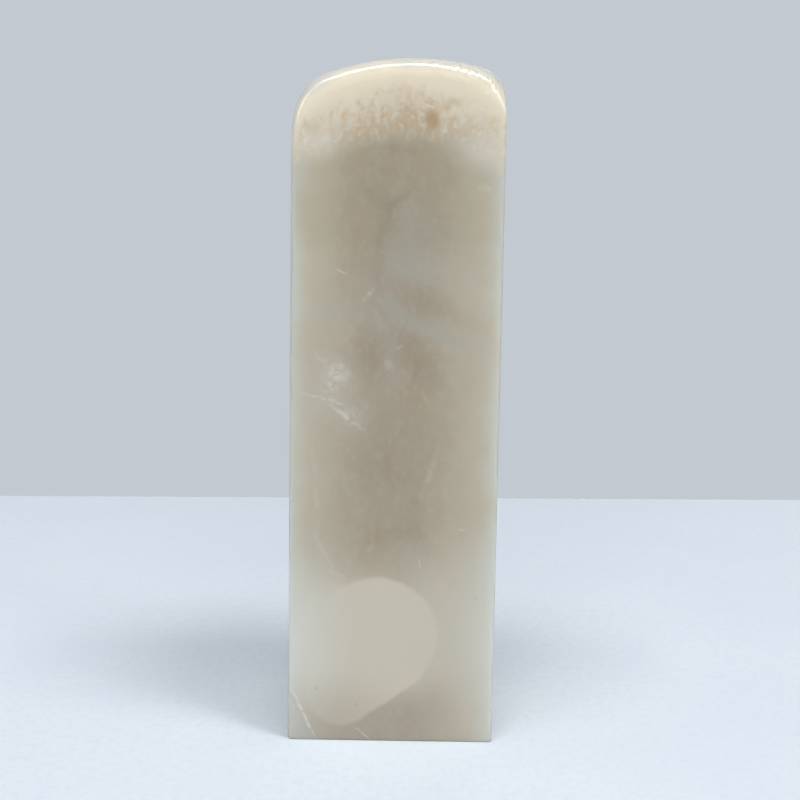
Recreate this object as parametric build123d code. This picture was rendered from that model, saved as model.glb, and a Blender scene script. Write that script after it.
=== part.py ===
from build123d import *
import os
from math import asin, atan, cos, degrees, radians, sin

# A hand seal cut from one block of soft stone: a square column with a flat
# stamping face at the bottom and a hand-rounded head at the top.
# Origin: centre of the stamping face. +Z is up, +X is to the right of
# somebody who looks at the front face, and the front face looks along -Y.

# Driving dimensions, in millimetres and degrees

side_width = 25.0  # between the left and right side faces
side_depth = 25.0  # between the front and back faces
height = 82.4  # from the stamping face to the top line of the crown
arris_radius = 0.45  # worn edge between two neighbouring side faces
base_bevel = 0.2  # eased edge round the stamping face

# The arch of the head, seen from the front. It is not symmetric: the crown
# leans to the right, the left shoulder is full and the right one is tight.
# Below each shoulder a long arc eases it into the upright side face.
crown_radius = 31.0
crown_offset = 2.0  # from the middle of the stone to the top line of the crown
left_shoulder_radius = 5.5
left_ease_height = 4.25
left_ease_depth = 0.37
right_shoulder_radius = 3.5
right_ease_height = 2.6
right_ease_depth = 0.3

# The round-over between the arch and the front and back faces. It swells at
# both shoulders, and below them it thins out to the width of an arris.
crown_rim_radius = 2.1
left_rim_radius = 2.7
right_rim_radius = 2.9
left_fade_height = 8.0  # over which the left arris opens out into the round-over
right_fade_height = 4.0

# The head starts on this length of upright side face below its lower easing
# arc, and its round-over is drawn through sections this far apart.
straight_length = 3.0
section_spacing = 0.8

half_width = side_width / 2
half_depth = side_depth / 2


def crown_end(reach, shoulder, steep, ease_depth):
    """Lean at which the crown meets a shoulder, so that the easing arc ends on the side face."""
    left_over = reach - ease_depth - shoulder * sin(radians(steep))
    return degrees(asin(left_over / (crown_radius - shoulder)))


def arch_side(reach, shoulder, ease_height, ease_depth):
    """Points from the crown's top line down to a side face, as (distance out, height, lean)."""
    ease_turn = 2 * degrees(atan(ease_depth / ease_height))
    ease = ease_height / sin(radians(ease_turn))
    steep = 90 - ease_turn
    meet = crown_end(reach, shoulder, steep, ease_depth)
    across, drop = 0, 0
    points = []
    for radius, first, last in ((crown_radius, 0, meet), (shoulder, meet, steep), (ease, steep, 90)):
        steps = round(radius * radians(last - first) / section_spacing)
        for step in range(1, steps + 1):
            lean = first + (last - first) * step / steps
            out = across + radius * (sin(radians(lean)) - sin(radians(first)))
            down = drop + radius * (cos(radians(first)) - cos(radians(lean)))
            points.append((out, height - down, lean))
        across, drop = out, down
    return points


def upright_side(top, foot, reach):
    """Points down the upright stretch of side face between the arch and the foot of the head."""
    steps = round((top - foot) / section_spacing)
    return [(reach, top - (top - foot) * step / steps, 90) for step in range(1, steps + 1)]


def rim_radius(share, rise, shoulder_rim):
    """Radius of the round-over, from shares of the way out to the side face and up the fade."""
    full = crown_rim_radius + (shoulder_rim - crown_rim_radius) * share**2
    eased = rise**2 * (3 - 2 * rise)
    return arris_radius + (full - arris_radius) * eased


def rim_section(x, z, lean, radius):
    """Quarter circle from the front face to the arch, square to the arch."""
    out = Vector(sin(radians(lean)), 0, cos(radians(lean)))
    front = Vector(0, -1, 0)
    centre = Vector(x, -half_depth + radius, z) - out * radius
    middle = centre + (out + front) * radius * sin(radians(45))
    return Wire([Edge.make_three_point_arc(centre + front * radius, middle, centre + out * radius)])


def side_sections(toward, arch, foot, shoulder_rim, fade_height):
    """Round-over sections from the crown's top line down one side to the foot of the head."""
    reach = half_width - toward * crown_offset
    side_top = arch[-1][1]
    sections = []
    for out, z, lean in arch + upright_side(side_top, foot, reach):
        rise = min(max((z - side_top) / fade_height, 0), 1)
        radius = rim_radius(out / reach, rise, shoulder_rim)
        sections.append(rim_section(crown_offset + toward * out, z, toward * lean, radius))
    return sections


def front_face(outline):
    """The flat front face: the inner edge of the round-over above, straight edges below."""
    left_end, right_end = outline.vertices().sort_by(Axis.X)
    corner = half_width - arris_radius
    below = Polyline(
        right_end,
        (corner, -half_depth, base_bevel),
        (-corner, -half_depth, base_bevel),
        left_end,
    )
    return Face(Wire([outline, *below.edges()]))


def column_walls(foot):
    """The side faces and arrises of the square column, its bevel and the stamping face."""
    outline = Plane.XY.offset(base_bevel) * RectangleRounded(side_width, side_depth, arris_radius)
    stamping_face = RectangleRounded(
        side_width - 2 * base_bevel,
        side_depth - 2 * base_bevel,
        arris_radius - base_bevel,
    )
    bevel = Shell.make_loft([stamping_face.wire(), outline.wire()], ruled=True)
    side_edges = outline.edges().sort_by(Axis.Y)[1:-1]
    walls = [Face.extrude(edge, (0, 0, foot - base_bevel)) for edge in side_edges]
    return walls + bevel.faces() + [stamping_face.face()]


def make_seal_stone():
    """The whole stone, as one skin that is closed into a solid."""
    left_reach = half_width + crown_offset
    right_reach = half_width - crown_offset
    left_arch = arch_side(left_reach, left_shoulder_radius, left_ease_height, left_ease_depth)
    right_arch = arch_side(right_reach, right_shoulder_radius, right_ease_height, right_ease_depth)
    foot = min(left_arch[-1][1], right_arch[-1][1]) - straight_length
    left = side_sections(-1, left_arch, foot, left_rim_radius, left_fade_height)
    right = side_sections(1, right_arch, foot, right_rim_radius, right_fade_height)
    top = rim_section(crown_offset, height, 0, crown_rim_radius)
    front_rim = Shell.make_loft(left[::-1] + [top] + right).face()
    front_outline, *_, arch_edge = front_rim.edges().sort_by(Axis.Y)
    front = front_face(front_outline)
    arch = Face.make_surface_from_curves(arch_edge, arch_edge.mirror(Plane.XZ))
    skin = [front_rim, front_rim.mirror(Plane.XZ), front, front.mirror(Plane.XZ), arch]
    return Solid(Shell(skin + column_walls(foot)))


os.makedirs("parts", exist_ok=True)
seal_stone = make_seal_stone()
export_step(seal_stone, "parts/seal_stone.step")
print("seal_stone valid:", seal_stone.is_valid, "volume mm3:", round(seal_stone.volume))
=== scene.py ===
from collections import namedtuple
from math import asin, atan, cos, pi, radians, sin

import bmesh
import bpy
from mathutils import Matrix, Vector


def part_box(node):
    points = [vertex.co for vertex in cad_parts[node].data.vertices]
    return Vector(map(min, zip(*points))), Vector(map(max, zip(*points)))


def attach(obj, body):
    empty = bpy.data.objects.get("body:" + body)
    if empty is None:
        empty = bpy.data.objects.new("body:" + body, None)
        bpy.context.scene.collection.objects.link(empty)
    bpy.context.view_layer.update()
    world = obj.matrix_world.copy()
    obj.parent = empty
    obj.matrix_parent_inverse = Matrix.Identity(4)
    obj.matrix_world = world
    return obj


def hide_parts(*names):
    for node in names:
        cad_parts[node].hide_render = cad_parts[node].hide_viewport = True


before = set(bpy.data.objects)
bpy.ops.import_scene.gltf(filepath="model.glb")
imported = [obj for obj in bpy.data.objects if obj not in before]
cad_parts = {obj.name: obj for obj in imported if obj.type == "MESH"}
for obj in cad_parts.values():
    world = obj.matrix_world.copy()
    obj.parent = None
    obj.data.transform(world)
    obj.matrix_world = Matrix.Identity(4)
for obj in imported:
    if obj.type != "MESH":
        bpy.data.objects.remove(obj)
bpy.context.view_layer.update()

# A hand seal of soft carving stone on a pale table, under studio light.
# Lengths are in metres, and MM turns millimetres into metres. The patterns in
# the stone are worked out in millimetres.

MM = 0.001

stone_low, stone_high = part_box("seal_stone")

# The stone. Its box comes from the frame. The arch of its head and the
# round-over along it have the real radii.

side_width = stone_high.x - stone_low.x
side_depth = stone_high.y - stone_low.y
height = stone_high.z
half_width = side_width / 2
half_depth = side_depth / 2
arris_radius = 0.45 * MM
base_bevel = 0.2 * MM

crown_radius = 31.0 * MM
crown_offset = 2.0 * MM
left_shoulder_radius = 5.5 * MM
left_ease_height = 4.25 * MM
left_ease_depth = 0.37 * MM
right_shoulder_radius = 3.5 * MM
right_ease_height = 2.6 * MM
right_ease_depth = 0.3 * MM

crown_rim_radius = 2.1 * MM
left_rim_radius = 2.7 * MM
right_rim_radius = 2.9 * MM
left_fade_height = 8.0 * MM
right_fade_height = 4.0 * MM

arch_step = 0.16 * MM  # length of a facet along the arch
arch_turn = radians(1.5)  # most that one facet turns from the next
rim_segments = 28  # facets across the round-over

# Slanting ripples that the file has left across the round-over. They crowd
# together towards the right shoulder, where they are deepest.
ripple_pitch = 2.0 * MM  # from one to the next where they start
ripple_crowding = 0.021 / MM**2  # how fast their count grows along the arch
ripple_slope = 0.11  # steepest side of a ripple
ripple_slant = 1.2  # run along the arch for each step across the round-over
ripple_start = -0.5 * MM  # from the middle of the stone
ripple_full = 4.0 * MM  # where they have their full slope
ripple_end = 11.6 * MM
calm_ripple = 0.10  # share of the slope that is left elsewhere
ripple_foot = 70.0 * MM  # no ripples below this height


def add_arc_point(bm, point, centre, turn, radius):
    """Carries the chain's last point round an arc that is seen from the front."""
    steps = max(round(radius * abs(turn) / arch_step), round(abs(turn) / arch_turn), 1)
    spun = bmesh.ops.spin(
        bm,
        geom=[point],
        cent=centre,
        axis=(0, 1, 0),
        angle=turn,
        steps=steps,
        use_merge=False,
        use_duplicate=False,
    )
    return next(part for part in spun["geom_last"] if isinstance(part, bmesh.types.BMVert))


def add_arch_side(bm, top, toward, shoulder, ease_height, ease_depth):
    """Crown, shoulder and easing arc down one side, then the upright side down to the base."""
    reach = half_width - toward * crown_offset
    ease_turn = 2 * atan(ease_depth / ease_height)
    ease = ease_height / sin(ease_turn)
    steep = pi / 2 - ease_turn
    meet = asin((reach - ease_depth - shoulder * sin(steep)) / (crown_radius - shoulder))
    centre = Vector((crown_offset, -half_depth, height - crown_radius))
    point, last_radius = top, crown_radius
    for radius, first, last in ((crown_radius, 0, meet), (shoulder, meet, steep), (ease, steep, pi / 2)):
        centre += Vector((toward * sin(first), 0, cos(first))) * (last_radius - radius)
        point = add_arc_point(bm, point, centre, toward * (last - first), radius)
        last_radius = radius
    side_top = point.co.z
    foot = bmesh.ops.extrude_vert_indiv(bm, verts=[point])["verts"][0]
    foot.co.z = 0
    return foot, side_top


def rim_radius(x, z, side_tops):
    """Radius of the round-over at a place on the arch."""
    toward = 1 if x > crown_offset else -1
    reach = half_width - toward * crown_offset
    shoulder_rim = right_rim_radius if toward > 0 else left_rim_radius
    fade_height = right_fade_height if toward > 0 else left_fade_height
    share = abs(x - crown_offset) / reach
    full = crown_rim_radius + (shoulder_rim - crown_rim_radius) * share**2
    rise = min(max((z - side_tops[toward]) / fade_height, 0), 1)
    eased = rise**2 * (3 - 2 * rise)
    return arris_radius + (full - arris_radius) * eased


def mark_rounded_edges(bm, side_tops):
    """Gives each edge the share of the widest round-over that it is rounded by."""
    weight = bm.edges.layers.float.new("bevel_weight_edge")
    for edge in bm.edges:
        first, last = (vert.co for vert in edge.verts)
        middle = (first + last) / 2
        if middle.z < arch_step:
            radius = base_bevel
        elif abs(first.y - last.y) > half_depth:
            radius = 0
        else:
            radius = rim_radius(middle.x, middle.z, side_tops)
        edge[weight] = radius / right_rim_radius


def make_stone_block():
    """The sawn block under its arch, with its edges still sharp."""
    bm = bmesh.new()
    top = bm.verts.new((crown_offset, -half_depth, height))
    left_foot, left_top = add_arch_side(
        bm, top, -1, left_shoulder_radius, left_ease_height, left_ease_depth
    )
    right_foot, right_top = add_arch_side(
        bm, top, 1, right_shoulder_radius, right_ease_height, right_ease_depth
    )
    bmesh.ops.contextual_create(bm, geom=[left_foot, right_foot])
    front = bmesh.ops.contextual_create(bm, geom=bm.edges[:])["faces"]
    grown = bmesh.ops.extrude_face_region(bm, geom=front)["geom"]
    back = [part for part in grown if isinstance(part, bmesh.types.BMVert)]
    bmesh.ops.translate(bm, verts=back, vec=(0, side_depth, 0))
    bmesh.ops.recalc_face_normals(bm, faces=bm.faces[:])
    mark_rounded_edges(bm, {-1: left_top, 1: right_top})
    mesh = bpy.data.meshes.new("polished_seal_stone")
    bm.to_mesh(mesh)
    bm.free()
    return mesh


def round_edges(stone):
    """Rounds the marked edges and keeps the result as the stone's own mesh."""
    bevel = stone.modifiers.new("rounded_edges", "BEVEL")
    bevel.limit_method = "WEIGHT"
    bevel.offset_type = "OFFSET"
    bevel.width = right_rim_radius
    bevel.segments = rim_segments
    bevel.use_clamp_overlap = False
    shaped = stone.evaluated_get(bpy.context.evaluated_depsgraph_get())
    mesh = bpy.data.meshes.new_from_object(shaped)
    stone.modifiers.clear()
    stone.data = mesh


def ripple_share(x):
    """Share of their full slope that the file's ripples have, this far right of the middle."""
    if x > ripple_end:
        return calm_ripple
    risen = min(max((x - ripple_start) / (ripple_full - ripple_start), 0), 1)
    return calm_ripple + (1 - calm_ripple) * risen


def add_file_ripples(mesh):
    """Low slanting ripples across the round-over of the head. The mesh remembers their troughs."""
    bm = bmesh.new()
    bm.from_mesh(mesh)
    bm.normal_update()
    trough = bm.verts.layers.float.new("ripple_trough")
    for vert in bm.verts:
        x, y, z = vert.co
        if z < ripple_foot:
            continue
        # 1 in the middle of the round-over, and 0 at its two edges and off it
        across = vert.normal.y ** 2
        on_rim = 4 * across * (1 - across)
        along = x + height - z
        slanted = along + ripple_slant * (half_depth - abs(y))
        count = slanted / ripple_pitch + ripple_crowding * slanted * max(slanted, 0)
        pitch = 1 / (1 / ripple_pitch + 2 * ripple_crowding * max(slanted, 0))
        depth = ripple_slope * pitch / (2 * pi)
        share = on_rim * ripple_share(x)
        wave = cos(2 * pi * count)
        vert.co += vert.normal * depth * share * wave
        vert[trough] = share * (1 - wave) / 2
    for face in bm.faces:
        face.smooth = True
    bm.to_mesh(mesh)
    bm.free()


def make_seal_stone():
    """The whole stone: the block, its rounded edges and the ripples of the file."""
    stone = bpy.data.objects.new("polished_seal_stone", make_stone_block())
    bpy.context.scene.collection.objects.link(stone)
    round_edges(stone)
    add_file_ripples(stone.data)
    stone.data.name = "polished_seal_stone"
    flats = stone.modifiers.new("flat_faces_stay_flat", "WEIGHTED_NORMAL")
    flats.mode = "FACE_AREA"
    flats.weight = 100
    stone.data.materials.append(make_polished_pyrophyllite())
    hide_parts("seal_stone")
    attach(stone, "root")


# Materials

def linear(hex_colour):
    """A linear RGBA colour from an sRGB hex one."""
    values = [int(hex_colour[i:i + 2], 16) / 255 for i in (0, 2, 4)]
    return [v / 12.92 if v <= 0.04045 else ((v + 0.055) / 1.055) ** 2.4 for v in values] + [1]


def add(tree, kind, sockets=None, **settings):
    """Adds a node with its settings, and sets or links its input sockets."""
    node = tree.nodes.new(kind)
    for name, value in settings.items():
        setattr(node, name, value)
    for name, value in (sockets or {}).items():
        if isinstance(value, bpy.types.NodeSocket):
            tree.links.new(value, node.inputs[name])
        else:
            node.inputs[name].default_value = value
    return node


def new_material(name):
    """An empty material with its shader. Returns the material, its tree and the shader."""
    material = bpy.data.materials.new(name)
    material.use_nodes = True
    tree = material.node_tree
    tree.nodes.clear()
    shader = add(tree, "ShaderNodeBsdfPrincipled")
    add(tree, "ShaderNodeOutputMaterial", {"Surface": shader.outputs["BSDF"]})
    return material, tree, shader


# Sockets of the colour form of the Mix node
SHARE = 0
UNDER = 6
OVER = 7
MIXED = 2  # among its outputs

# Colours of the stone, and of the light and shade painted on it
WARM_BODY = "aea088"
BROWN_BODY = "a19078"
GREY_GREEN = "a9a493"
# The next two colours are painted light that comes through the thin edges; the second also colours real
# pale patches in the body.
PAINTED_SIDE_LIGHT = "c4bca6"
PALE_STONE_AND_EDGE_LIGHT = "c6c7be"
# Painted light bounced up from the pale table onto the foot
PAINTED_TABLE_BOUNCE = "d3ccbc"
# Painted light that comes through the thin edges of the foot
FOOT_EDGE_LIGHT = "d6d7cf"
BROWN_FOOT = "a99e8c"
# Painted shade: the top of the crown greyer, where less light falls on it
CROWN_SHADE_PAINT = "d4d1c6"
CREAM_CAP = "e6dcc6"
MEALY_CAP = "cfc0a6"
TAN_GRAIN = "cba97c"
WHITE_FLECK = "dedacd"
TAN_SPOT = "b9a27e"
PALE_EGG = "cec6b3"
WHITE_VEIN = "dbdacf"
GREY_CORNER = "bbbab2"
DARK_LINE = "988e76"
DARK_SPECK = "857b68"
PALE_SPECK = "c8bfab"

front_y = -12.5  # the front face, in millimetres
back_y = 12.5
left_x = -12.5
right_x = 12.5

# A mark in the stone is a lump that the faces cut through: its middle and its
# half sizes in millimetres, its turn as seen from the front in degrees, how
# soft its edge is, its colour, and how much of that colour it carries.
Mark = namedtuple("Mark", "middle half_size turn softness colour strength")

BODY_MARKS = (
    Mark((1.2, front_y, 58.0), (3.8, 9, 7.0), 14, 1.0, GREY_GREEN, 0.7),
    Mark((-0.6, front_y, 51.5), (1.3, 6, 5.5), 0, 1.0, GREY_GREEN, 0.9),
    Mark((5.6, front_y, 49.8), (7.5, 8, 1.1), 26, 1.0, GREY_GREEN, 0.8),
    Mark((-6.5, front_y, 52.8), (5.0, 8, 1.8), 0, 1.0, GREY_GREEN, 0.7),
    Mark((-1.9, front_y, 60.5), (0.45, 5, 5.2), 0, 1.0, DARK_LINE, 0.42),
    Mark((-3.1, front_y, 66.6), (0.5, 4, 2.6), -38, 1.0, DARK_LINE, 0.28),
    Mark((-0.4, front_y, 65.7), (0.5, 4, 1.7), 58, 1.0, DARK_LINE, 0.35),
    Mark((4.6, front_y, 53.6), (5.4, 8, 1.4), 23, 1.0, BROWN_BODY, 0.8),
    Mark((3.6, front_y, 46.4), (5.6, 8, 1.6), 48, 1.0, BROWN_BODY, 0.9),
    Mark((-4.2, front_y, 47.8), (2.4, 6, 2.4), 25, 1.0, BROWN_BODY, 0.9),
    Mark((-4.8, front_y, 59.5), (3.6, 8, 6.5), 0, 1.0, BROWN_BODY, 0.4),
    Mark((6.8, front_y, 61.0), (3.0, 8, 6.0), 0, 1.0, BROWN_BODY, 0.3),
    Mark((-0.5, front_y, 35.5), (6.4, 9, 8.0), 0, 0.9, BROWN_BODY, 0.45),
    Mark((-7.4, front_y, 45.0), (2.4, 3, 2.8), 0, 1.0, PALE_STONE_AND_EDGE_LIGHT, 0.3),
    Mark((-10.0, front_y, 41.8), (2.8, 3, 1.4), 10, 1.0, PALE_STONE_AND_EDGE_LIGHT, 0.5),
    Mark((-5.0, front_y, 40.2), (2.0, 3, 1.5), 30, 1.0, PALE_STONE_AND_EDGE_LIGHT, 0.2),
    Mark((right_x, -2.0, 55.0), (6, 7, 9), 0, 1.0, BROWN_BODY, 0.8),
    Mark((right_x, 5.5, 27.0), (5, 4.5, 12), 0, 1.0, GREY_GREEN, 0.9),
    Mark((left_x, 3.0, 36.0), (6, 6, 11), 0, 1.0, BROWN_BODY, 0.8),
    Mark((left_x, -1.5, 60.0), (5, 4, 6), 0, 1.0, GREY_GREEN, 0.9),
    Mark((-3.0, back_y, 54.0), (6, 6, 7), 30, 1.0, BROWN_BODY, 0.8),
    Mark((4.5, back_y, 38.0), (4, 6, 8), -25, 1.0, GREY_GREEN, 0.9),
    # Painted light bounced up from the pale table: the foot and the lower body paler
    Mark((0, 3.0, 11.5), (22, 20, 9.5), 0, 0.8, PAINTED_TABLE_BOUNCE, 1.0),
    Mark((9.5, front_y, 19.0), (5.5, 9, 6.0), 0, 1.0, PAINTED_TABLE_BOUNCE, 0.45),
    Mark((4.5, front_y, 2.0), (7.5, 8, 4.4), 20, 0.9, BROWN_FOOT, 0.8),
    Mark((-6.5, front_y, 0.8), (4.5, 6, 3.4), 0, 0.9, BROWN_FOOT, 0.7),
    Mark((4.0, 7.0, 0), (6, 5, 4), 0, 0.9, BROWN_BODY, 0.6),
)

egg_blunt = Vector((-1.7, front_y, 13.3))
egg_blunt_radius = 7.3
egg_tip = Vector((-6.1, front_y, 6.3))
egg_tip_radius = 4.3
egg_lump_count = 6
egg_edge = 0.45  # how far its edge is blurred


def egg_lumps():
    """The pale egg in the foot: a row of round lumps from its blunt end down to its tip."""
    lumps = []
    for number in range(egg_lump_count):
        share = number / (egg_lump_count - 1)
        radius = egg_blunt_radius + (egg_tip_radius - egg_blunt_radius) * share
        middle = egg_blunt.lerp(egg_tip, share)
        lumps.append(Mark(middle, (radius,) * 3, 0, egg_edge / radius, PALE_EGG, 1.0))
    return lumps


EGG_MARKS = (
    Mark((-9.8, front_y, 13.2), (4.2, 6, 6.0), 0, 1.0, PALE_EGG, 0.9),
    Mark((-4.5, front_y, 12.8), (7.2, 7.2, 7.2), 0, 0.2, PALE_EGG, 0.7),
    *egg_lumps(),
    Mark((-6.6, front_y, 2.8), (5.6, 6, 3.8), 0, 1.0, BROWN_FOOT, 0.5),
    # Painted light through the thin upright edges of the foot
    Mark((-13.0, front_y, 13.0), (5.0, 9, 8.0), 0, 1.0, FOOT_EDGE_LIGHT, 0.75),
    Mark((13.0, front_y, 13.0), (4.0, 9, 9.0), 0, 1.0, FOOT_EDGE_LIGHT, 0.65),
    Mark((5.0, back_y, 61.0), (4.5, 5, 3.2), -35, 0.16, PALE_EGG, 0.5),
)

CAP_MARKS = (
    Mark((3.8, front_y, 75.4), (0.85, 1.2, 1.25), -8, 0.55, TAN_SPOT, 0.95),
    Mark((0.7, front_y, 76.4), (0.6, 1.0, 0.8), -10, 0.9, TAN_SPOT, 0.45),
    Mark((6.4, front_y, 77.4), (0.8, 1.0, 0.45), 0, 0.9, TAN_SPOT, 0.35),
    Mark((-10.3, front_y, 74.2), (0.5, 0.8, 0.7), 0, 0.9, TAN_SPOT, 0.4),
    Mark((-10.2, front_y, 72.6), (2.8, 6, 1.7), 0, 1.0, WHITE_FLECK, 0.55),
    Mark((10.4, front_y, 72.2), (3.0, 6, 1.9), 0, 1.0, WHITE_FLECK, 0.55),
    Mark((-4.6, 4.0, 80.5), (2.2, 1.4, 2), 0, 0.9, TAN_SPOT, 0.35),
)

VEIN_MARKS = (
    Mark((-12.9, front_y, 2.2), (2.6, 9, 6.0), -26, 0.15, GREY_CORNER, 0.7),
    Mark((3.2, front_y, 77.1), (0.75, 0.5, 0.13), 20, 0.5, WHITE_VEIN, 0.8),
    Mark((-6.9, front_y, 45.5), (1.1, 2.5, 1.0), 35, 1.0, WHITE_VEIN, 0.6),
    Mark((-7.7, front_y, 44.0), (0.7, 2.5, 1.1), -20, 1.0, WHITE_VEIN, 0.5),
    Mark((-8.4, front_y, 47.1), (1.4, 2.5, 0.35), 38, 1.0, WHITE_VEIN, 0.35),
    Mark((-8.3, front_y, 42.4), (2.3, 2.5, 0.18), 15, 0.8, WHITE_VEIN, 0.45),
    Mark((-5.9, front_y, 40.5), (2.0, 3.5, 0.2), 38, 0.8, WHITE_VEIN, 0.5),
    Mark((-5.1, front_y, 40.4), (0.9, 2.0, 0.8), 38, 1.0, WHITE_VEIN, 0.4),
    Mark((-6.4, front_y, 57.6), (0.7, 0.6, 0.14), 30, 0.8, WHITE_VEIN, 0.35),
    Mark((-3.2, front_y, 55.1), (0.26, 0.6, 0.8), 32, 0.9, WHITE_VEIN, 0.35),
    Mark((0.45, front_y, 48.7), (0.6, 0.6, 0.12), -20, 0.8, WHITE_VEIN, 0.2),
    Mark((-0.7, front_y, 46.3), (0.4, 0.8, 0.7), 0, 1.0, WHITE_VEIN, 0.15),
    Mark((10.3, front_y, 67.7), (0.7, 0.8, 0.45), 0, 1.0, WHITE_VEIN, 0.3),
    Mark((8.2, front_y, 26.6), (0.6, 0.5, 0.12), 15, 0.8, WHITE_VEIN, 0.4),
    Mark((3.3, front_y, 22.5), (0.1, 0.5, 0.5), 0, 0.8, WHITE_VEIN, 0.4),
    Mark((-9.3, front_y, 30.6), (0.25, 4, 5.4), -3, 0.9, WHITE_VEIN, 0.16),
    Mark((-8.2, front_y, 23.6), (0.25, 4, 2.4), -30, 0.9, WHITE_VEIN, 0.18),
    Mark((-6.7, front_y, 21.1), (1.3, 3, 0.25), 30, 0.9, WHITE_VEIN, 0.18),
    Mark((4.5, front_y, 34.3), (0.3, 4, 3.8), 18, 0.9, WHITE_VEIN, 0.1),
    Mark((4.1, front_y, 29.6), (0.3, 3, 1.4), -35, 0.9, WHITE_VEIN, 0.1),
    Mark((-10.6, front_y, 3.3), (0.14, 9, 3.7), -26, 0.7, WHITE_VEIN, 0.8),
    Mark((-3.4, front_y, 0.9), (0.09, 3, 1.2), -50, 0.5, WHITE_VEIN, 0.6),
    Mark((-9.0, front_y, 6.6), (0.14, 0.3, 0.18), 0, 0.5, DARK_SPECK, 0.4),
    Mark((-4.2, front_y, 4.5), (0.14, 0.3, 0.16), 0, 0.5, DARK_SPECK, 0.5),
    Mark((10.0, front_y, 18.2), (0.12, 0.3, 0.16), 0, 0.5, DARK_SPECK, 0.4),
)

# A cloud is a soft pattern all through the stone: the size of its grain in
# millimetres, how finely it is packed along x, y and z, the thickness at which
# it starts to show and at which it is full, its colour and its strength.
Cloud = namedtuple("Cloud", "grain packed thin thick colour strength")

noise_detail = 4.0  # times that the grain is halved inside every cloud
noise_middle = 0.5
BODY_CLOUDS = (
    Cloud(9.0, (1, 1, 0.5), 0.42, 0.62, GREY_GREEN, 0.35),
    Cloud(3.2, (1, 1, 0.8), 0.45, 0.75, BROWN_BODY, 0.5),
)
PALE_MOTTLE = Cloud(0.8, (1, 1, 0.6), 0.45, 0.75, PALE_SPECK, 0.15)
TAN_CLOUDS = Cloud(2.0, (1, 1, 0.8), 0.50, 0.70, TAN_GRAIN, 0.35)
TAN_GRAINS = Cloud(0.8, (1, 1, 0.8), 0.48, 0.74, TAN_GRAIN, 0.6)
WHITE_FLECKS = Cloud(0.7, (1, 1, 0.8), 0.45, 0.75, WHITE_FLECK, 0.7)

# How far the patterns stray from their plain shapes, in millimetres: the size
# of the bends, and how far they reach.
SLOW_BENDS = (5.0, 1.6)
FINE_BENDS = (1.8, 0.5)
EGG_BENDS = (5.0, 0.6)
CRINKLES = (1.3, 0.45)
gap_size = 0.8  # of the gaps that break up the veins
gap_thickness = (0.34, 0.56)

# Levels of the head, in millimetres above the stamping face at its middle line:
# where each layer starts and where it is full
MEALY_RISE = (71.6, 77.4)
CREAM_RISE = (74.8, 80.2)
# where the painted shade on the top of the crown starts and is full
CROWN_SHADE_RISE = (81.2, 82.6)
GRAIN_RISE = (72.6, 75.6)
GRAIN_FALL = (80.3, 77.5)
head_middle = 1.0  # from the middle of the stone to the highest place of a layer
head_sag = 0.026  # how fast a layer falls away from there, per millimetre

# Painted light that comes through the thin upright edges, in layers that
# grow paler towards them: where each starts and is full, in millimetres from
# the middle of a face, its curve and its colour
EdgeLightLayer = namedtuple("EdgeLightLayer", "start full curve colour")
PAINTED_EDGE_LIGHT = (
    EdgeLightLayer(2.5, 12.0, 1.25, PAINTED_SIDE_LIGHT),
    EdgeLightLayer(10.0, 12.8, 1.5, PALE_STONE_AND_EDGE_LIGHT),
)

# White healed cracks on the other faces. A crack runs where a cloud has its
# middle thickness.
crack_grain = 14.0
crack_half_width = 0.007  # in the thickness of that cloud
crack_patches = Cloud(6.0, (1, 1, 1), 0.50, 0.66, WHITE_VEIN, 0.5)
crack_free = (-11.0, -8.0)  # millimetres in y, from none to all

# How the surface was rubbed, in millimetres
wave_length = 5.0
wave_depth = 0.03
scratch_spacing = 0.22
scratch_length = 7.0
scratch_depth = 0.0015
pit_size = 0.4
pit_depth = 0.012
grinding_spacing = 0.18
grinding_length = 9.0
grinding_depth = 0.012
foot_height = (0.35, 0.05)  # between the polished sides and the ground stamping face
shine_grain = 3.0
shine_spread = (0.3, 0.7)  # thinnest and thickest of the cloud that the shine follows
dull_from = (0.3, 0.7)  # depth in a trough, from polished to dull

# Roughness, from the best polish to the ground stamping face
SMOOTH = 0.05
RUBBED = 0.08
TROUGH = 0.16
GROUND = 0.5

# The stone lets light in, and a film of wax lies on it
stone_ior = 1.56
wax_cover = 0.35
wax_roughness = 0.04
light_depth = 3.0 * MM
light_reach = (1.0, 0.92, 0.8)  # shares of that depth for red, green and blue


def place_in_mm(tree):
    """The place on the piece, in millimetres."""
    here = add(tree, "ShaderNodeTexCoord").outputs["Object"]
    in_mm = (1 / MM, 1 / MM, 1 / MM)
    return add(tree, "ShaderNodeMapping", {"Vector": here, "Scale": in_mm}).outputs["Vector"]


def wander(tree, place, bends):
    """The place, pushed about, so that a pattern drawn on it strays from its plain shape."""
    grain, reach = bends
    cloud = add(
        tree, "ShaderNodeTexNoise", {"Vector": place, "Scale": 1 / grain, "Detail": noise_detail}
    ).outputs["Color"]
    centred = add(
        tree, "ShaderNodeVectorMath", {0: cloud, 1: (noise_middle,) * 3}, operation="SUBTRACT"
    ).outputs["Vector"]
    return add(
        tree,
        "ShaderNodeVectorMath",
        {0: centred, 1: (2 * reach,) * 3, 2: place},
        operation="MULTIPLY_ADD",
    ).outputs["Vector"]


def break_up(tree, place):
    """1 where a vein shows and 0 in the gaps that break it up."""
    cloud = add(
        tree, "ShaderNodeTexNoise", {"Vector": place, "Scale": 1 / gap_size, "Detail": noise_detail}
    ).outputs["Fac"]
    return add(
        tree,
        "ShaderNodeMapRange",
        {"Value": cloud, "From Min": gap_thickness[0], "From Max": gap_thickness[1]},
    ).outputs["Result"]


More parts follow.
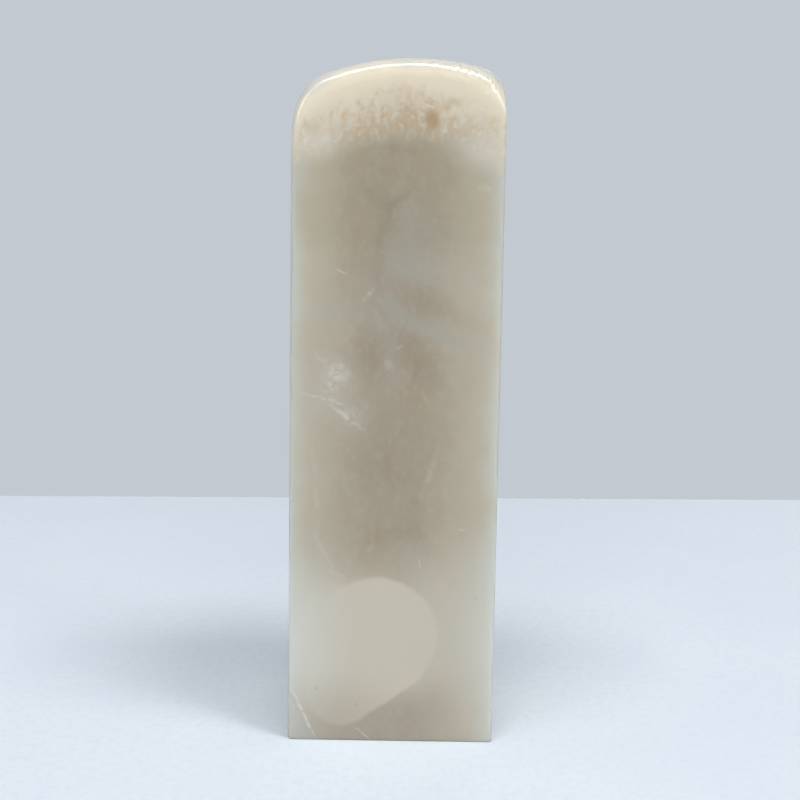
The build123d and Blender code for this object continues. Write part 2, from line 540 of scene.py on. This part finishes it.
def lay_mark(tree, colour, place, mark, shown=1.0):
    """Lays one lump of colour into the stone, over the colour so far."""
    centred = add(
        tree,
        "ShaderNodeMapping",
        {
            "Vector": place,
            "Location": mark.middle,
            "Rotation": (0, radians(mark.turn), 0),
            "Scale": mark.half_size,
        },
        vector_type="TEXTURE",
    ).outputs["Vector"]
    distance = add(
        tree, "ShaderNodeVectorMath", {0: centred}, operation="LENGTH"
    ).outputs["Value"]
    inside = add(
        tree,
        "ShaderNodeMapRange",
        {
            "Value": distance,
            "From Min": 1 + mark.softness,
            "From Max": 1 - mark.softness,
            "To Max": mark.strength,
        },
        interpolation_type="SMOOTHSTEP",
    ).outputs["Result"]
    share = add(
        tree, "ShaderNodeMath", {0: inside, 1: shown}, operation="MULTIPLY"
    ).outputs["Value"]
    over = linear(mark.colour)
    return add(
        tree, "ShaderNodeMix", {SHARE: share, UNDER: colour, OVER: over}, data_type="RGBA"
    ).outputs[MIXED]


def lay_cloud(tree, colour, place, cloud, zone=1.0):
    """Lays a cloud of colour through one zone of the stone, over the colour so far."""
    packed = add(
        tree, "ShaderNodeMapping", {"Vector": place, "Scale": cloud.packed}
    ).outputs["Vector"]
    thickness = add(
        tree, "ShaderNodeTexNoise", {"Vector": packed, "Scale": 1 / cloud.grain, "Detail": noise_detail}
    ).outputs["Fac"]
    inside = add(
        tree,
        "ShaderNodeMapRange",
        {
            "Value": thickness,
            "From Min": cloud.thin,
            "From Max": cloud.thick,
            "To Max": cloud.strength,
        },
        interpolation_type="SMOOTHSTEP",
    ).outputs["Result"]
    share = add(
        tree, "ShaderNodeMath", {0: inside, 1: zone}, operation="MULTIPLY"
    ).outputs["Value"]
    over = linear(cloud.colour)
    return add(
        tree, "ShaderNodeMix", {SHARE: share, UNDER: colour, OVER: over}, data_type="RGBA"
    ).outputs[MIXED]


def lay_above(tree, colour, level, rise, over):
    """Lays a colour over the rest where a level passes through a rise."""
    share = add(
        tree,
        "ShaderNodeMapRange",
        {"Value": level, "From Min": rise[0], "From Max": rise[1]},
        interpolation_type="SMOOTHSTEP",
    ).outputs["Result"]
    return add(
        tree, "ShaderNodeMix", {SHARE: share, UNDER: colour, OVER: linear(over)}, data_type="RGBA"
    ).outputs[MIXED]


def paint_edge_light(tree, colour, place):
    """Paints the light that comes through the thin edges: the faces grow paler towards the upright
    edges.
    """
    size = add(
        tree, "ShaderNodeVectorMath", {0: place}, operation="ABSOLUTE"
    ).outputs["Vector"]
    parts = add(tree, "ShaderNodeSeparateXYZ", {0: size}).outputs
    across = add(
        tree, "ShaderNodeMath", {0: parts["X"], 1: parts["Y"]}, operation="MINIMUM"
    ).outputs["Value"]
    for layer in PAINTED_EDGE_LIGHT:
        near = add(
            tree,
            "ShaderNodeMapRange",
            {"Value": across, "From Min": layer.start, "From Max": layer.full},
        ).outputs["Result"]
        share = add(
            tree, "ShaderNodeMath", {0: near, 1: layer.curve}, operation="POWER"
        ).outputs["Value"]
        over = linear(layer.colour)
        colour = add(
            tree, "ShaderNodeMix", {SHARE: share, UNDER: colour, OVER: over}, data_type="RGBA"
        ).outputs[MIXED]
    return colour


def lay_healed_cracks(tree, colour, place, gaps):
    """Thin white lines of healed cracks, in patches, on the sides, the back and the ends."""
    cloud = add(
        tree, "ShaderNodeTexNoise", {"Vector": place, "Scale": 1 / crack_grain, "Detail": noise_detail}
    ).outputs["Fac"]
    from_middle = add(
        tree, "ShaderNodeMath", {0: cloud, 1: noise_middle}, operation="SUBTRACT"
    ).outputs["Value"]
    off_line = add(tree, "ShaderNodeMath", {0: from_middle}, operation="ABSOLUTE").outputs["Value"]
    line = add(
        tree, "ShaderNodeMapRange", {"Value": off_line, "From Min": crack_half_width, "From Max": 0.0}
    ).outputs["Result"]
    depth = add(tree, "ShaderNodeSeparateXYZ", {0: place}).outputs["Y"]
    away = add(
        tree,
        "ShaderNodeMapRange",
        {"Value": depth, "From Min": crack_free[0], "From Max": crack_free[1]},
    ).outputs["Result"]
    shown = add(tree, "ShaderNodeMath", {0: line, 1: away}, operation="MULTIPLY").outputs["Value"]
    zone = add(tree, "ShaderNodeMath", {0: shown, 1: gaps}, operation="MULTIPLY").outputs["Value"]
    return lay_cloud(tree, colour, place, crack_patches, zone)


def head_level(tree, place):
    """Height in the head, in mm, along layers that follow its arch."""
    parts = add(tree, "ShaderNodeSeparateXYZ", {0: place}).outputs
    across = add(
        tree, "ShaderNodeMath", {0: parts["X"], 1: head_middle}, operation="SUBTRACT"
    ).outputs["Value"]
    squared = add(
        tree, "ShaderNodeMath", {0: across, 1: across}, operation="MULTIPLY"
    ).outputs["Value"]
    return add(
        tree, "ShaderNodeMath", {0: squared, 1: head_sag, 2: parts["Z"]}, operation="MULTIPLY_ADD"
    ).outputs["Value"]


def mealy_zone(tree, level):
    """1 in the mealy band round the head, 0 below it and in the cream above it."""
    above, below = (
        add(
            tree,
            "ShaderNodeMapRange",
            {"Value": level, "From Min": start, "From Max": full},
            interpolation_type="SMOOTHSTEP",
        ).outputs["Result"]
        for start, full in (GRAIN_RISE, GRAIN_FALL)
    )
    return add(
        tree, "ShaderNodeMath", {0: above, 1: below}, operation="MULTIPLY"
    ).outputs["Value"]


def colour_stone(tree, place):
    """All the colour in the stone, from the brown body up to the creamy cap, with painted light at its
    thin edges and foot and painted shade on its crown.
    """
    wandering = wander(tree, wander(tree, place, SLOW_BENDS), FINE_BENDS)
    rounded = wander(tree, place, EGG_BENDS)
    crinkled = wander(tree, place, CRINKLES)
    gaps = break_up(tree, place)

    colour = linear(WARM_BODY)
    for cloud in BODY_CLOUDS:
        colour = lay_cloud(tree, colour, wandering, cloud)
    for mark in BODY_MARKS:
        colour = lay_mark(tree, colour, wandering, mark)
    colour = lay_cloud(tree, colour, wandering, PALE_MOTTLE)
    # Painted light that comes through the thin edges: paler towards the upright edges
    colour = paint_edge_light(tree, colour, wandering)
    for mark in EGG_MARKS:
        colour = lay_mark(tree, colour, rounded, mark)
    level = head_level(tree, wandering)
    colour = lay_above(tree, colour, level, MEALY_RISE, MEALY_CAP)
    colour = lay_above(tree, colour, level, CREAM_RISE, CREAM_CAP)
    # Painted shade on the top of the crown, above the thin shine
    colour = lay_above(tree, colour, level, CROWN_SHADE_RISE, CROWN_SHADE_PAINT)
    mealy = mealy_zone(tree, level)
    for cloud in (TAN_CLOUDS, TAN_GRAINS, WHITE_FLECKS):
        colour = lay_cloud(tree, colour, crinkled, cloud, mealy)
    for mark in CAP_MARKS:
        colour = lay_mark(tree, colour, crinkled, mark)
    for mark in VEIN_MARKS:
        colour = lay_mark(tree, colour, crinkled, mark, gaps)
    return lay_healed_cracks(tree, colour, crinkled, gaps), mealy


def lay_relief(tree, height, place, packed, depth, zone=1.0):
    """Adds a relief to the height so far: how finely it is packed, and its depth in mm."""
    drawn = add(tree, "ShaderNodeMapping", {"Vector": place, "Scale": packed}).outputs["Vector"]
    grain = add(tree, "ShaderNodeTexNoise", {"Vector": drawn, "Scale": 1.0}).outputs["Fac"]
    deep = add(tree, "ShaderNodeMath", {0: zone, 1: depth}, operation="MULTIPLY").outputs["Value"]
    return add(
        tree, "ShaderNodeMath", {0: grain, 1: deep, 2: height}, operation="MULTIPLY_ADD"
    ).outputs["Value"]


def rub_relief(tree, place, mealy, ground):
    """Slow waves and fine scratches of hand rubbing along the column, pits
    among the mealy grains, and the grinding marks of the stamping face."""
    waves = (1 / wave_length,) * 3
    scratches = (1 / scratch_spacing, 1 / scratch_spacing, 1 / scratch_length)
    pits = (1 / pit_size,) * 3
    grinding = (1 / grinding_length, 1 / grinding_spacing, 1 / grinding_spacing)
    height = lay_relief(tree, 0.0, place, waves, wave_depth)
    height = lay_relief(tree, height, place, scratches, scratch_depth)
    height = lay_relief(tree, height, place, pits, pit_depth, mealy)
    height = lay_relief(tree, height, place, grinding, grinding_depth, ground)
    return add(tree, "ShaderNodeBump", {"Height": height, "Distance": MM}).outputs["Normal"]


def rub_roughness(tree, place, dull, ground):
    """Roughness: a little uneven where polished, duller in the troughs, matt where ground."""
    cloud = add(
        tree, "ShaderNodeTexNoise", {"Vector": place, "Scale": 1 / shine_grain, "Detail": noise_detail}
    ).outputs["Fac"]
    polished = add(
        tree,
        "ShaderNodeMapRange",
        {
            "Value": cloud,
            "From Min": shine_spread[0],
            "From Max": shine_spread[1],
            "To Min": SMOOTH,
            "To Max": RUBBED,
        },
    ).outputs["Result"]
    for share, roughness in ((dull, TROUGH), (ground, GROUND)):
        polished = add(
            tree, "ShaderNodeMapRange", {"Value": share, "To Min": polished, "To Max": roughness}
        ).outputs["Result"]
    return polished


def rub_stone(tree, shader, place, mealy):
    """The hand-rubbed surface. The polish has hardly reached the troughs of the ripples."""
    up = add(tree, "ShaderNodeSeparateXYZ", {0: place}).outputs["Z"]
    ground = add(
        tree, "ShaderNodeMapRange", {"Value": up, "From Min": foot_height[0], "From Max": foot_height[1]}
    ).outputs["Result"]
    trough = add(tree, "ShaderNodeAttribute", attribute_name="ripple_trough").outputs["Fac"]
    dull = add(
        tree, "ShaderNodeMapRange", {"Value": trough, "From Min": dull_from[0], "From Max": dull_from[1]}
    ).outputs["Result"]
    relief = rub_relief(tree, place, mealy, ground)
    tree.links.new(relief, shader.inputs["Normal"])
    tree.links.new(relief, shader.inputs["Coat Normal"])
    tree.links.new(rub_roughness(tree, place, dull, ground), shader.inputs["Roughness"])


def make_polished_pyrophyllite():
    """Soft carving stone, sawn, rubbed smooth by hand and waxed. Light goes a
    little way into it, so it looks like candle wax: brown and grey-green
    clouds under the surface, painted light that makes it paler towards its
    thin edges and its foot, painted shade on the top of the crown, a creamy
    cap with mealy flecks, white healed cracks, and a thin bright shine on
    rounded edges."""
    material, tree, shader = new_material("polished_pyrophyllite")
    place = place_in_mm(tree)
    colour, mealy = colour_stone(tree, place)
    tree.links.new(colour, shader.inputs["Base Color"])
    rub_stone(tree, shader, place, mealy)
    shader.inputs["IOR"].default_value = stone_ior
    shader.inputs["Coat Weight"].default_value = wax_cover
    shader.inputs["Coat Roughness"].default_value = wax_roughness
    shader.inputs["Subsurface Weight"].default_value = 1.0
    shader.inputs["Subsurface Radius"].default_value = light_reach
    shader.inputs["Subsurface Scale"].default_value = light_depth
    return material


# The studio

TABLE_CARD = "e7eff6"
CARD_FIBRE = "dde6f0"
card_fibres = Cloud(0.9, (1, 0.6, 1), 0.40, 0.70, CARD_FIBRE, 0.5)
card_shade = Cloud(30.0, (1, 1, 1), 0.35, 0.65, CARD_FIBRE, 0.3)
card_tooth = 0.015  # depth of its grain, in millimetres
card_grain = 0.7
card_roughness = 0.9
BACKDROP = "c3c9d0"
table_front = -0.7
table_back = 0.122
table_turn = radians(2.8)  # its far edge runs off to the right
table_side = 0.8
table_thickness = 0.02

# Soft boxes light the colours and the shadows. Thin strips show only in gloss,
# as the one bright line along the rounded edges. A lamp's turn is the way that
# its width runs, in degrees from x as seen from above.
Lamp = namedtuple("Lamp", "name place turn width depth watts in_gloss")
LAMPS = (
    Lamp("overhead_strip", (-0.18, -0.09, 0.85), -8, 0.60, 0.02, 5.0, True),
    Lamp("shoulder_strip", (0.23, -0.228, 0.79), -41, 0.56, 0.02, 5.6, True),
    Lamp("left_strip", (-0.55, -0.06, 0.47), 90, 0.04, 0.62, 1.0, True),
    Lamp("right_strip", (0.55, -0.20, 0.47), 90, 0.18, 0.62, 1.6, True),
    Lamp("top_box", (0.0, 0.0, 0.90), 0, 0.50, 0.50, 0.5, False),
    Lamp("left_key", (-0.14, -0.25, 0.86), 0, 0.25, 0.25, 2.0, False),
    Lamp("right_key", (0.26, -0.24, 0.82), 0, 0.25, 0.25, 2.6, False),
    Lamp("front_fill", (0.0, -0.90, 0.40), 0, 0.60, 0.40, 3.4, False),
    Lamp("back_fill", (0.10, 0.90, 0.50), 0, 0.60, 0.40, 1.3, False),
)
lamp_aim = Vector((0, 0, 0.04))
ROOM_TINT = "dfeaff"
room_level = 0.18

camera_place = Vector((0.6087, -223.1409, 78.3899)) * MM
camera_down = 0.1690  # radians below level
camera_roll = 0.0160
camera_lens = 81.0
camera_film = 36.0
camera_near = 0.01


def make_matt_card():
    """Thick uncoated card, cool white. Its pressed fibres show as a faint mottle and tooth."""
    material, tree, shader = new_material("matt_card")
    place = place_in_mm(tree)
    colour = lay_cloud(tree, linear(TABLE_CARD), place, card_shade)
    colour = lay_cloud(tree, colour, place, card_fibres)
    tree.links.new(colour, shader.inputs["Base Color"])
    height = lay_relief(tree, 0.0, place, (1 / card_grain,) * 3, card_tooth)
    relief = add(tree, "ShaderNodeBump", {"Height": height, "Distance": MM}).outputs["Normal"]
    tree.links.new(relief, shader.inputs["Normal"])
    shader.inputs["Roughness"].default_value = card_roughness
    return material


def make_table():
    """The pale table top, with its far edge behind the stone."""
    bm = bmesh.new()
    bmesh.ops.create_cube(bm, size=1)
    depth = table_back - table_front
    bmesh.ops.scale(bm, verts=bm.verts[:], vec=(2 * table_side, depth, table_thickness))
    middle = (0, (table_back + table_front) / 2, -table_thickness / 2)
    bmesh.ops.translate(bm, verts=bm.verts[:], vec=middle)
    far_edge = Vector((0, table_back, 0))
    turn = Matrix.Rotation(table_turn, 3, "Z")
    bmesh.ops.rotate(bm, verts=bm.verts[:], cent=far_edge, matrix=turn)
    mesh = bpy.data.meshes.new("table_top")
    bm.to_mesh(mesh)
    bm.free()
    table = bpy.data.objects.new("table_top", mesh)
    bpy.context.scene.collection.objects.link(table)
    mesh.materials.append(make_matt_card())


def hang_lamp(lamp):
    """One lamp, aimed at the stone."""
    light = bpy.data.lights.new(lamp.name, "AREA")
    light.shape = "RECTANGLE"
    light.size = lamp.width
    light.size_y = lamp.depth
    light.energy = lamp.watts
    holder = bpy.data.objects.new(lamp.name, light)
    away = (Vector(lamp.place) - lamp_aim).normalized()
    turn = radians(lamp.turn)
    depth_way = away.cross(Vector((cos(turn), sin(turn), 0))).normalized()
    width_way = depth_way.cross(away)
    facing = Matrix((width_way, depth_way, away)).transposed()
    holder.matrix_world = Matrix.Translation(lamp.place) @ facing.to_4x4()
    holder.visible_glossy = lamp.in_gloss
    holder.visible_diffuse = not lamp.in_gloss
    bpy.context.scene.collection.objects.link(holder)


def make_room():
    """A plain room: soft light from all round, and the backdrop where the room itself is seen."""
    world = bpy.data.worlds.new("plain_room")
    world.use_nodes = True
    tree = world.node_tree
    tree.nodes.clear()
    ray = add(tree, "ShaderNodeLightPath").outputs
    seen = ray["Is Camera Ray"]
    for kind in ("Is Glossy Ray", "Is Transmission Ray"):
        seen = add(tree, "ShaderNodeMath", {0: seen, 1: ray[kind]}, operation="MAXIMUM").outputs["Value"]
    room = add(tree, "ShaderNodeBackground", {"Color": linear(ROOM_TINT), "Strength": room_level})
    backdrop = add(tree, "ShaderNodeBackground", {"Color": linear(BACKDROP), "Strength": 1.0})
    both = add(
        tree,
        "ShaderNodeMixShader",
        {0: seen, 1: room.outputs["Background"], 2: backdrop.outputs["Background"]},
    )
    add(tree, "ShaderNodeOutputWorld", {"Surface": both.outputs["Shader"]})
    bpy.context.scene.world = world


def aim_camera():
    """The photograph's view: level with the crown, looking a little down."""
    lens = bpy.data.cameras.new("front_camera")
    lens.lens = camera_lens
    lens.sensor_width = camera_film
    lens.clip_start = camera_near
    camera = bpy.data.objects.new("front_camera", lens)
    camera.matrix_world = (
        Matrix.Translation(camera_place)
        @ Matrix.Rotation(pi / 2 - camera_down, 4, "X")
        @ Matrix.Rotation(camera_roll, 4, "Z")
    )
    bpy.context.scene.collection.objects.link(camera)
    bpy.context.scene.camera = camera


make_seal_stone()
make_table()
for lamp in LAMPS:
    hang_lamp(lamp)
make_room()
aim_camera()
bpy.context.scene.view_settings.view_transform = "Standard"
